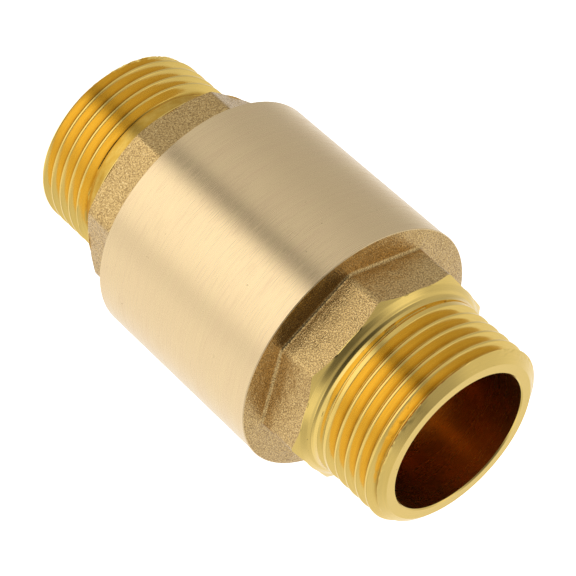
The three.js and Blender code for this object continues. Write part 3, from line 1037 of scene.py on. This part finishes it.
@dataclass
class BodyCasting:
    """The body: turned shell, cast shoulder, octagon and outlet thread, bored through."""

    bottom: float = 24.45
    top: float = 61.35
    shell: float = 22.4995
    edge: float = 0.3
    rim_width: float = 0.95
    rim_proud: float = 0.1
    rim_step: float = 0.03
    rim_round: float = 0.15
    rim_drop: float = 0.5
    cone_drop: float = 0.9
    chamber_slope: float = 1.7
    thread_relief: float = 0.6
    thread_rows: int = 43
    land: float = 15.59
    nose: float = 15.49
    chamber: float = 19.0
    guide_hole: float = 13.84
    guide_stop: float = 55.05
    rim_bottom: float = 52.0
    chamber_bottom: float = 38.35
    joint: ScrewThread = field(default_factory=ScrewThread)
    outlet: ThreadedEnd = field(default_factory=lambda: ThreadedEnd(7.8, 0.0, 3.58, 11))

    def build(self) -> bpy.types.Object:
        """Makes the body and hides the CAD body.

        Returns:
            The casting.
        """
        turning = Turning("body_casting")
        entry = self.joint.radius + self.joint.clearance
        rim = self.shell + self.rim_proud
        start = self.top - self.rim_width
        foot = (self.shell, self.bottom + self.edge)
        turning.path([(entry, self.bottom), (self.shell - self.edge, self.bottom), foot], SHELL)
        turning.line(foot, (self.shell, start - self.rim_step), SHELL, 8)
        turning.path([(self.shell, start - self.rim_step), (rim - self.rim_step, start)], SHELL)
        self._rim(turning, rim, start)
        rim_end = rim - self.rim_round
        self.outlet.bands(turning, (rim_end, -self.rim_drop), lambda height: height + self.top)
        self._bore(turning, entry)
        return hold(turning.build(), Body.CASING, Slot.CAST_BRASS, "body")

    def _rim(self, turning: Turning, rim: float, start: float) -> None:
        """Adds the narrow lip at the shell's end and its broken edge.

        Args:
            turning: The solid that they are added to.
            rim: The lip's radius.
            start: The height at which it begins.
        """
        broken = self.rim_round
        inner, height = rim - broken, self.top - self.rim_drop - broken
        turning.line((rim - self.rim_step, start), (rim, height), SHELL, 2)
        bend = np.linspace(0.0, math.pi / 2, 4)
        turning.add(inner + broken * np.cos(bend), height + broken * np.sin(bend), SHELL)

    def _bore(self, turning: Turning, entry: float) -> None:
        """Adds the inside from the outlet's mouth down to the joint thread.

        Args:
            turning: The solid that it is added to.
            entry: Radius of the hole at the casting's lower face.
        """
        end, slope, relief = self.outlet, self.chamber_slope, self.thread_relief
        mouth = self.top + end.flats_length + end.port_length - end.mouth_edge
        cone = self.top - self.cone_drop
        thread_end = self.joint.start + self.joint.length
        turning.line((end.bore, mouth), (end.bore, cone), BORE, 4)
        turning.path([
            (end.bore, cone), (self.guide_hole, self.guide_stop), (self.nose, self.guide_stop),
            (self.nose, self.rim_bottom), (self.chamber, self.rim_bottom - slope),
            (self.chamber, self.chamber_bottom + slope), (self.land, self.chamber_bottom),
            (self.land, thread_end + 2 * relief), (entry, thread_end + relief),
            (entry, thread_end),
        ], BORE)
        heights = np.linspace(thread_end, self.bottom, self.thread_rows + 1)[:, None]
        radius = self.joint.helix(self.joint.clearance, turning.angles[None], heights)
        radius = np.maximum(radius, entry - (heights - self.bottom))
        turning.line((entry, thread_end), (radius[0], thread_end), BORE)
        turning.add(radius, heights, MACHINED)


@dataclass
class InletCap:
    """The screwed cap: octagon, inlet thread, spigot and seat."""

    shoulder: float = 24.4
    nose_top: float = 38.5
    seat_top: float = 39.2
    nose: float = 15.49
    seat_bore: float = 10.54
    seat_lip: float = 1.2
    groove_depth: float = 1.4
    groove_width: float = 2.4
    groove_at: float = 34.9
    edge: float = 0.3
    thread_rows: int = 43
    thread_above: float = 1.4
    thread_below: float = 0.6
    thread_run_out: float = 1.0
    thread_fade: float = 0.8
    joint: ScrewThread = field(default_factory=ScrewThread)
    inlet: ThreadedEnd = field(default_factory=lambda: ThreadedEnd(
        8.6, -math.radians(16.75), 0.786, 41, mirrored=True, run_out_at=-1.0,
        collar_foot=((0.0, 1.5), (0.1, 1.45), (0.25, 0.9), (0.8, 0.0), (1.6, -1.45)),
        relief=((0.25, 0.9), (0.8, 0.0), (1.6, -1.45), (4.25, -1.45), (5.0, 0.0)),
    ))

    def build(self) -> bpy.types.Object:
        """Makes the cap and hides the CAD cap.

        Returns:
            The casting.
        """
        turning = Turning("inlet_cap_casting")
        octagon = self.inlet.octagon(-turning.angles)
        self.inlet.bands(turning, None, lambda height: self.shoulder - height)
        self._bore(turning)
        self._spigot(turning, octagon)
        return hold(turning.build(), Body.CASING, Slot.CAST_BRASS, "inlet_cap")

    def _bore(self, turning: Turning) -> None:
        """Adds the inside, from the inlet's mouth up to the seat.

        Args:
            turning: The solid that it is added to.
        """
        bore = self.inlet.bore
        cone = self.groove_at - self.groove_width
        turning.line((bore, self.inlet.mouth_edge), (bore, cone), BORE, 4)
        turning.path([
            (bore, cone), (self.seat_bore, cone + bore - self.seat_bore),
            (self.seat_bore, self.seat_top - self.seat_lip * 0.25),
        ], BORE)

    def _spigot(self, turning: Turning, octagon: Array) -> None:
        """Adds the seat lip, the nose with its groove, the joint thread and the shoulder.

        Args:
            turning: The solid that they are added to.
            octagon: Radius of the octagon at each column.
        """
        inner, edge, nose, top = self.seat_bore, self.edge, self.nose, self.nose_top
        bend = np.linspace(math.pi, 0.0, 9)
        half, lip = self.seat_lip / 2, self.seat_top - edge
        turning.add(inner + half + half * np.cos(bend), lip + edge * np.sin(bend), MACHINED)
        outer, root = inner + self.seat_lip, nose - self.groove_depth
        high, low = (self.groove_at + side * self.groove_width / 2 for side in (1, -1))
        turning.path([
            (outer, lip), (outer, top), (nose - edge, top), (nose, top - edge), (nose, high),
            (root, high), (root, low), (nose, low), (nose, low - edge),
        ], MACHINED)
        joint, half = self.joint, (self.joint.length - self.joint.pitch) / 2
        middle = joint.start + half
        start, end = middle + half + self.thread_above, joint.start - self.thread_below
        heights = np.linspace(start, end, self.thread_rows + 1)[:, None]
        thread = joint.helix(0.0, turning.angles[None], heights)
        full = half + self.thread_run_out - np.abs(heights - middle)
        fade = np.clip(full / self.thread_fade, 0.0, 1.0)
        radius = nose + np.maximum(thread - nose, 0.0) * fade
        turning.line((nose, low - edge), (radius[0], heights[0]), MACHINED)
        turning.add(radius, heights, MACHINED)
        turning.line((radius[-1], heights[-1]), (nose, self.shoulder), MACHINED)
        turning.line((nose, self.shoulder), (octagon, self.shoulder), MACHINED, 2)


# ---- Inner pieces ------------------------------------------------------------------------


@dataclass
class Spring:
    """The closing spring with closed, ground end turns."""

    bottom: float = 44.05
    top: float = 58.21
    outer: float = 7.0
    wire: float = 0.8
    turns: int = 6
    closed: float = 0.86
    keep: float = 0.506
    sides: int = 12
    steps_per_turn: int = 48
    blend: int = 6

    def build(self) -> bpy.types.Object:
        """Makes the wire.

        Returns:
            The spring.
        """
        steps = self.turns * self.steps_per_turn
        turn = np.linspace(0.0, self.turns, steps + 1)
        ends = np.clip(turn, 0, 1) + np.maximum(turn - self.turns + 1, 0)
        rise = self.top - self.bottom - self.wire - 2 * self.closed
        open_part = np.clip(turn - 1, 0, self.turns - 2) / (self.turns - 2) * rise
        height = self.bottom + self.wire / 2 + ends * self.closed + open_part
        kernel = np.ones(2 * self.blend + 1) / (2 * self.blend + 1)
        height[self.blend:-self.blend] = np.convolve(height, kernel, "valid")
        section = np.arange(self.sides) * (2 * math.pi / self.sides)
        radius = self.outer - self.wire / 2 + self.wire / 2 * np.cos(section)[None]
        z = height[:, None] + self.wire / 2 * np.sin(section)[None]
        grid = polar(turn[:, None] * 2 * math.pi, radius, z)
        made = loft("closing_spring", grid, STAINLESS)
        hold(made, Body.CASING, Slot.STAINLESS, "spring")
        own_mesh(made)
        return made


@dataclass(frozen=True)
class TurnedPiece:
    """One turned or moulded piece, with its edges broken.

    An outline that starts on the axis is a solid bar; any other one is a ring.
    """

    node: str
    body: Body
    finish: Finish
    outline: tuple[Point, ...]
    edge: float = 0.12

    def shape(self) -> bpy.types.Object:
        """Makes the piece without holding it on a body.

        Returns:
            The piece.
        """
        turning = Turning(f"fine_{self.node}", SMALL_ROUND)
        points = rounded(self.outline, self.edge, self.outline[0][0] > 0)
        turning.add([r for r, _ in points], [z for _, z in points], self.finish)
        return turning.build()

    def build(self) -> bpy.types.Object:
        """Makes the piece in place of its CAD node."""
        return hold(self.shape(), self.body, self.finish.slot, self.node)


@dataclass
class CapSeal:
    """The O-ring round the cap's nose."""

    inner: float = 14.14
    outer: float = 15.54
    middle: float = 34.9
    half_width: float = 0.95
    steps: int = 24

    def build(self) -> bpy.types.Object:
        """Makes the ring, squeezed a little oval.

        Returns:
            The ring.
        """
        around = np.linspace(0.0, 2 * math.pi, self.steps + 1)
        half = (self.outer - self.inner) / 2
        turning = Turning("fine_cap_o_ring", SMALL_ROUND)
        turning.add(
            self.inner + half + half * np.cos(around),
            self.middle + self.half_width * np.sin(around), NITRILE,
        )
        return hold(turning.build(), Body.CASING, Slot.NITRILE, "cap_o_ring")


@dataclass
class StemGuide:
    """The spider that guides the stem: rim, arms, spring seat and hub, with its bush.

    arm_sides says how far each of an arm's outer sections lies in from its side, and how much
    smaller its outline is there.
    """

    rim: tuple[float, float, float, float] = (13.84, 15.44, 52.0, 55.0)
    bore: float = 3.7
    bush_hole: float = 2.65
    hub: float = 5.2
    hub_bottom: float = 56.8
    hub_top: float = 64.26
    seat: float = 7.05
    seat_bottom: float = 58.26
    seat_thickness: float = 1.4
    arms: int = 4
    arm_width: float = 2.4
    arm_corner: float = 0.6
    arm_sides: tuple[Point, ...] = ((0.0, 0.3), (0.09, 0.09), (0.3, 0.0))
    edge: float = 0.25
    bush_edge: float = 0.3
    bush_play: float = 0.05
    arm: tuple[Point, ...] = (
        (4.6, 58.26), (8.0, 58.26), (8.0, 52.0), (14.64, 52.0), (14.64, 54.95), (13.44, 54.95),
        (12.446, 60.05), (5.2, 63.86), (4.6, 63.86),
    )

    def build(self) -> None:
        """Makes the guide and its bush."""
        inner, outer, low, high = self.rim
        node, body = "stem_guide", Body.CASING
        rim = TurnedPiece(node, body, INNER_BRASS, (
            (inner, low), (outer, low), (outer, high), (inner, high),
        ), self.edge)
        seat_top = self.seat_bottom + self.seat_thickness
        hub = TurnedPiece(node, body, INNER_BRASS, (
            (self.bore, self.hub_bottom), (self.hub, self.hub_bottom), (self.hub, self.seat_bottom),
            (self.seat, self.seat_bottom), (self.seat, seat_top), (self.hub, seat_top),
            (self.hub, self.hub_top), (self.bore, self.hub_top),
        ), self.edge)
        shapes = [rim.shape(), hub.shape()]
        shapes += [self._arm(2 * math.pi * i / self.arms) for i in range(self.arms)]
        hold(merge("fine_stem_guide", shapes), body, Slot.TURNED_BRASS, node)
        low, high = self.hub_bottom, self.hub_top
        bore = self.bore - self.bush_play
        TurnedPiece("guide_bush", body, ACETAL, (
            (self.bush_hole, low), (bore, low), (bore, high), (self.bush_hole, high),
        ), self.bush_edge).build()

    def _arm(self, turn: float) -> bpy.types.Object:
        """Makes one arm with rounded edges.

        Args:
            turn: How far round the axis it stands, in radians.

        Returns:
            The arm.
        """
        outline = np.array(rounded(self.arm, self.arm_corner)[:-1])
        steps = [np.roll(outline, -1, axis=0) - outline, outline - np.roll(outline, 1, axis=0)]
        along = sum(step / np.linalg.norm(step, axis=1)[:, None] for step in steps)
        along /= np.linalg.norm(along, axis=1)[:, None]
        outward = np.stack([along[:, 1], -along[:, 0]], axis=1)
        half = self.arm_width / 2
        places = [(depth - half, inset) for depth, inset in self.arm_sides]
        places += [(half - depth, inset) for depth, inset in reversed(self.arm_sides)]
        sections = []
        for side, inset in places:
            radius, height = (outline - outward * inset).T
            sections.append(np.stack([
                radius * math.cos(turn) - side * math.sin(turn),
                radius * math.sin(turn) + side * math.cos(turn), height,
            ], axis=1))
        return loft("guide_arm", np.array(sections), INNER_BRASS)


@dataclass
class Poppet:
    """The moving assembly: stem, disc, seal, retainer, washer and nut.

    A span is a piece's lowest and highest height.
    """

    hole: float = 2.55
    disc: float = 13.19
    disc_span: tuple[float, float] = (40.3, 44.0)
    disc_floor: float = 41.8
    disc_lip: float = 0.6
    hub: float = 4.5
    hub_top: float = 47.5
    seal: float = 12.54
    seal_span: tuple[float, float] = (39.25, 41.75)
    seal_edge: float = 0.2
    retainer: float = 9.04
    retainer_span: tuple[float, float] = (37.4, 39.2)
    retainer_edge: float = 0.6
    washer: float = 4.5
    washer_span: tuple[float, float] = (36.45, 37.35)
    washer_slit: float = 1.0
    washer_edge: float = 0.12
    washer_steps: int = 96
    nut_flat: float = 4.0
    nut_span: tuple[float, float] = (32.4, 36.4)
    nut_edge: float = 0.2
    nut_face: float = 3.9
    nut_corner: float = 0.06
    nut_columns: int = 192
    stem: float = 2.5
    stem_tip: float = 2.0
    stem_span: tuple[float, float] = (31.4, 65.26)
    stem_chamfer: float = 0.1
    shoulder: float = 4.0
    shoulder_span: tuple[float, float] = (47.55, 49.0)
    thread_rows: int = 69
    run_out_slope: float = 0.8
    stem_thread: ScrewThread = field(default_factory=lambda: ScrewThread(
        radius=2.5, depth=0.46, pitch=0.8, clearance=0.0, start=31.9, length=5.6, crest_flat=0.05,
    ))

    def build(self) -> None:
        """Makes the six pieces."""
        hole, body = self.hole, Body.POPPET
        (low, high), disc, inner = self.disc_span, self.disc, self.disc - self.disc_lip
        TurnedPiece("valve_disc", body, INNER_BRASS, (
            (hole, self.disc_floor), (inner, self.disc_floor), (inner, low), (disc, low),
            (disc, high - self.disc_lip), (inner, high), (self.hub, high),
            (self.hub, self.hub_top), (hole, self.hub_top),
        )).build()
        low, high = self.seal_span
        TurnedPiece("disc_seal", body, NITRILE, (
            (hole, low), (self.seal, low), (self.seal, high), (hole, high),
        ), self.seal_edge).build()
        (low, high), edge = self.retainer_span, self.retainer_edge
        TurnedPiece("seal_retainer", body, INNER_BRASS, (
            (hole, low), (self.retainer - edge, low), (self.retainer, low + edge),
            (self.retainer, high), (hole, high),
        )).build()
        self._stem()
        self._washer()
        self._nut()

    def _stem(self) -> None:
        """Makes the stem, threaded at its lower end."""
        turning = Turning("fine_stem", SMALL_ROUND)
        thread, r = self.stem_thread, self.stem
        end, root = thread.start + thread.length, r - thread.depth
        (bottom, top), edge = self.stem_span, self.stem_chamfer
        start, tip = bottom + edge, self.stem_tip
        turning.path([(0.0, bottom), (tip, bottom), (root, start)], STAINLESS)
        heights = np.linspace(start, end, self.thread_rows + 1)[:, None]
        radius = thread.helix(0.0, turning.angles[None], heights)
        radius = np.minimum(radius, root + (heights - start))
        radius = np.maximum(radius, r - (end - heights) * self.run_out_slope)
        turning.add(radius, heights, STAINLESS)
        low, high = self.shoulder_span
        points = rounded([
            (r, end), (r, low), (self.shoulder, low), (self.shoulder, high), (r, high),
            (r, top - (r - tip)), (tip, top), (0.0, top),
        ], edge, closed=False)
        turning.add([p[0] for p in points], [p[1] for p in points], STAINLESS)
        hold(turning.build(), Body.POPPET, Slot.STAINLESS, "stem")

    def _washer(self) -> None:
        """Makes the split washer."""
        (low, high), hole, outer = self.washer_span, self.hole, self.washer
        corners = [(hole, low), (outer, low), (outer, high), (hole, high)]
        section = np.array(rounded(corners, self.washer_edge)[:-1])
        radius, height = section.T[:, None]
        gap = np.arcsin(self.washer_slit / 2 / radius)
        share = np.linspace(0.0, 1.0, self.washer_steps + 1)[:, None]
        angle = gap + share * (2 * math.pi - 2 * gap)
        made = loft("fine_lock_washer", polar(angle, radius, height), STAINLESS)
        hold(made, Body.POPPET, Slot.STAINLESS, "lock_washer")

    def _nut(self) -> None:
        """Makes the hexagon nut with its corners chamfered."""
        turning = Turning("fine_stem_nut", self.nut_columns)
        (low, high), face, hole, edge = self.nut_span, self.nut_face, self.hole, self.nut_edge
        sector = math.pi / 3
        offset = np.abs((turning.angles + sector / 2) % sector - sector / 2)
        hexagon = self.nut_flat / np.cos(offset)
        cut = (hexagon - self.nut_flat) * math.tan(math.radians(30)) + self.nut_corner
        turning.path([(hole, high - edge), (hole + edge, high), (face, high)], STAINLESS)
        turning.line((face, high), (hexagon, high - cut), STAINLESS)
        turning.line((hexagon, high - cut), (hexagon, low + cut), STAINLESS, 4)
        turning.line((hexagon, low + cut), (face, low), STAINLESS)
        turning.path([
            (face, low), (hole + edge, low), (hole, low + edge), (hole, high - edge),
        ], STAINLESS)
        hold(turning.build(), Body.POPPET, Slot.STAINLESS, "stem_nut")


# ---- Studio ------------------------------------------------------------------------------


@dataclass(frozen=True)
class Tent:
    """How bright the surroundings are, in four belts one above the other.

    Each belt has levels by the share of a turn: 0 and 1 are +Y, 0.25 is -X, 0.5 is -Y, 0.75 is
    +X. A meeting is the height of a direction, from -1 to 1, over which one belt gives way to
    the next.
    """

    below: Stops = (
        (0.0, 1.0), (0.06, 0.95), (0.111, 0.66), (0.167, 0.50), (0.278, 0.52), (0.38, 0.64),
        (0.415, 0.62), (0.435, 0.36), (0.455, 0.38), (0.485, 1.05), (0.5, 1.2), (0.556, 1.2),
        (0.62, 1.08), (0.655, 0.86), (0.675, 0.86), (0.72, 0.96), (1.0, 1.0),
    )
    level: Stops = (
        (0.0, 0.84), (0.1, 0.82), (0.15, 0.66), (0.24, 0.5), (0.35, 0.3), (0.42, 0.10),
        (0.5, 0.04), (0.6, 0.08), (0.66, 0.22), (0.76, 0.45), (0.85, 0.66), (0.9, 0.82),
        (1.0, 0.84),
    )
    beside: Stops = (
        (0.0, 0.84), (0.1, 0.82), (0.15, 0.66), (0.185, 0.66), (0.24, 1.0), (0.29, 0.95),
        (0.35, 0.4), (0.41, 0.10), (0.5, 0.04), (0.60, 0.08), (0.66, 0.3), (0.70, 0.90),
        (0.76, 1.0), (0.815, 0.70), (0.85, 0.70), (0.9, 0.82), (1.0, 0.84),
    )
    above: Stops = (
        (0.0, 0.6), (0.16, 0.42), (0.34, 0.42), (0.5, 0.20), (0.66, 0.30), (0.75, 0.42),
        (0.84, 0.62), (1.0, 0.6),
    )
    meetings: tuple[tuple[float, float], ...] = ((-0.05, 0.35), (0.52, 0.62), (0.80, 0.95))

    def draw(self, graph: Graph, direction: Wire) -> Wire:
        """Draws the belts.

        Args:
            graph: The world's nodes.
            direction: The direction looked in.

        Returns:
            The brightness there.
        """
        x, y, z = graph.axes(direction)
        azimuth = graph.node("ShaderNodeMath", {"operation": "ARCTAN2"}, [x, 0.0 - y])
        share = azimuth / (2 * math.pi) + 0.5
        found = graph.ramp(share, self.below)
        for (low, high), belt in zip(self.meetings, (self.level, self.beside, self.above)):
            found = graph.mix(graph.step(z, low, high), found, graph.ramp(share, belt))
        return found


@dataclass
class Studio:
    """White floor, soft lights and the camera; millimetres and degrees."""

    distance: float = 402.5
    elevation: float = 30.54
    roll: float = 131.98
    aim: float = 44.5
    lens: float = 158.2
    sensor: float = 36.0
    clip: tuple[float, float] = (10.0, 20000.0)
    floor_half: float = 3000.0
    floor_level: float = -0.2
    tent: Tent = field(default_factory=Tent)

    def build(self) -> None:
        """Makes the camera, the floor and the light."""
        self._camera()
        self._floor()
        self._world()

    def _camera(self) -> None:
        """Looks at the valve's axis from the side and above, rolled about the line of sight."""
        tilt = math.radians(self.elevation)
        back = Vector((0.0, -math.cos(tilt), math.sin(tilt)))
        data = bpy.data.cameras.new("camera")
        data.lens, data.sensor_width = self.lens, self.sensor
        data.clip_start, data.clip_end = (c * MM for c in self.clip)
        camera = bpy.data.objects.new("camera", data)
        bpy.context.scene.collection.objects.link(camera)
        level = (-back).to_track_quat("-Z", "Y").to_matrix().to_4x4()
        rolled = level @ Matrix.Rotation(math.radians(self.roll), 4, "Z")
        aim = Vector((0.0, 0.0, self.aim * MM))
        camera.matrix_world = Matrix.Translation(aim + back * self.distance * MM) @ rolled
        bpy.context.scene.camera = camera

    def _floor(self) -> None:
        """A wide white floor under the inlet face."""
        half, level = self.floor_half * MM, self.floor_level * MM
        corners = [(-half, -half), (half, -half), (half, half), (-half, half)]
        mesh = bpy.data.meshes.new("floor")
        mesh.from_pydata([(x, y, level) for x, y in corners], [], [(0, 1, 2, 3)])
        floor = bpy.data.objects.new("floor", mesh)
        bpy.context.scene.collection.objects.link(floor)
        paper = bpy.data.materials.new("white_floor")
        paper.use_nodes = True
        Graph(paper.node_tree).surface({
            "Base Color": (0.9, 0.9, 0.9, 1.0), "Roughness": 0.9,
            "Emission Color": WHITE, "Emission Strength": 1.0,
        })
        mesh.materials.append(paper)
        floor.visible_glossy = False
        floor.visible_shadow = False
        floor.visible_diffuse = False

    def _world(self) -> None:
        """A light tent: broad soft panels round the valve, white to the camera."""
        world = bpy.data.worlds.new("light_tent")
        bpy.context.scene.world = world
        world.use_nodes = True
        graph = Graph(world.node_tree)
        direction = graph.node("ShaderNodeTexCoord", {}, [], "Generated")
        level = self.tent.draw(graph, direction)
        camera_ray = graph.node("ShaderNodeLightPath", {}, [], "Is Camera Ray")
        colour = graph.mix(camera_ray, level, WHITE)
        background = graph.node("ShaderNodeBackground", {}, {"Color": colour, "Strength": 1.0})
        graph.node("ShaderNodeOutputWorld", {}, {"Surface": background})
        bpy.context.scene.view_settings.view_transform = "Standard"


def main() -> None:
    """Builds the valve and its studio, in order."""
    logging.basicConfig(level=logging.INFO, format="%(name)s %(message)s")
    Studio().build()
    BodyCasting().build()
    InletCap().build()
    CapSeal().build()
    StemGuide().build()
    Spring().build()
    Poppet().build()


if __name__ == "__main__":
    main()
